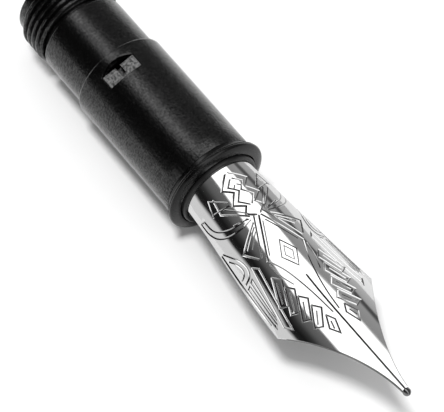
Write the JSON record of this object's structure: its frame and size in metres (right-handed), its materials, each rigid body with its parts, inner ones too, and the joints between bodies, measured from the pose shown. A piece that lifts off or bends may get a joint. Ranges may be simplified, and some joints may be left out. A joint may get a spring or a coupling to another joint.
{
  "type": "pen nib section",
  "caption": "Screw-in front section of a pen: black grip with sprung cap catches and a rear thread, holding an ink feed and a slit steel nib with wide shoulders.",
  "frame": {"origin": "on the pen axis, in the middle of the rear thread that screws into the holder", "axes": "+X along the pen axis towards the writing point, +Z towards the side that the nib's slit faces, +Y completes the right-handed frame"},
  "size_m": [0.0478, 0.0094, 0.0092],
  "materials": {
    "core_black": "black anodised, satin",
    "sleeve_black": "black anodised, satin, fine turned grain",
    "catch_steel": "blasted",
    "spring_steel": "rolled strip",
    "nipple_steel": "drawn tube",
    "housing_black": "moulded, satin",
    "seal_rubber": "matt",
    "feed_black": "moulded, etched",
    "nib_steel": "polished, engraved",
    "point_metal": "ground and polished"
  },
  "bodies": {
    "section": {"section_core": "core_black", "grip_sleeve": "sleeve_black", "front_ring": "sleeve_black", "ink_nipple": "nipple_steel", "catch_leaf_near": "spring_steel", "catch_leaf_far": "spring_steel"},
    "catch_near": {"catch_plate_near": "catch_steel"},
    "catch_far": {"catch_plate_far": "catch_steel"},
    "seal": {"housing_seal": "seal_rubber"},
    "nib_unit": {"nib_housing": "housing_black", "feed": "feed_black", "nib": "nib_steel", "nib_point": "point_metal"}
  },
  "joints": [
    {"name": "catch_near_press", "type": "slide", "parent": "section", "child": "catch_near", "axis": [0, 0.3007, -0.9537], "range_m": [0, 0.0003], "stiffness_N_per_m": 300, "springref_m": -0.001},
    {"name": "catch_far_press", "type": "slide", "parent": "section", "child": "catch_far", "axis": [0, -0.3007, 0.9537], "range_m": [0, 0.0003], "stiffness_N_per_m": 300, "springref_m": -0.001},
    {"name": "nib_unit_slide", "type": "slide", "parent": "section", "child": "seal", "axis": [1, 0, 0], "range_m": [0, 0.0032]},
    {"name": "nib_unit_turn", "type": "hinge", "parent": "seal", "child": "nib_unit", "pos_m": [0.0126, 0, 0], "axis": [1, 0, 0], "range_deg": [0, 1441]}
  ],
  "couplings": [
    {"joint": "nib_unit_turn", "follows": "nib_unit_slide", "rad_per_m": 7854}
  ]
}
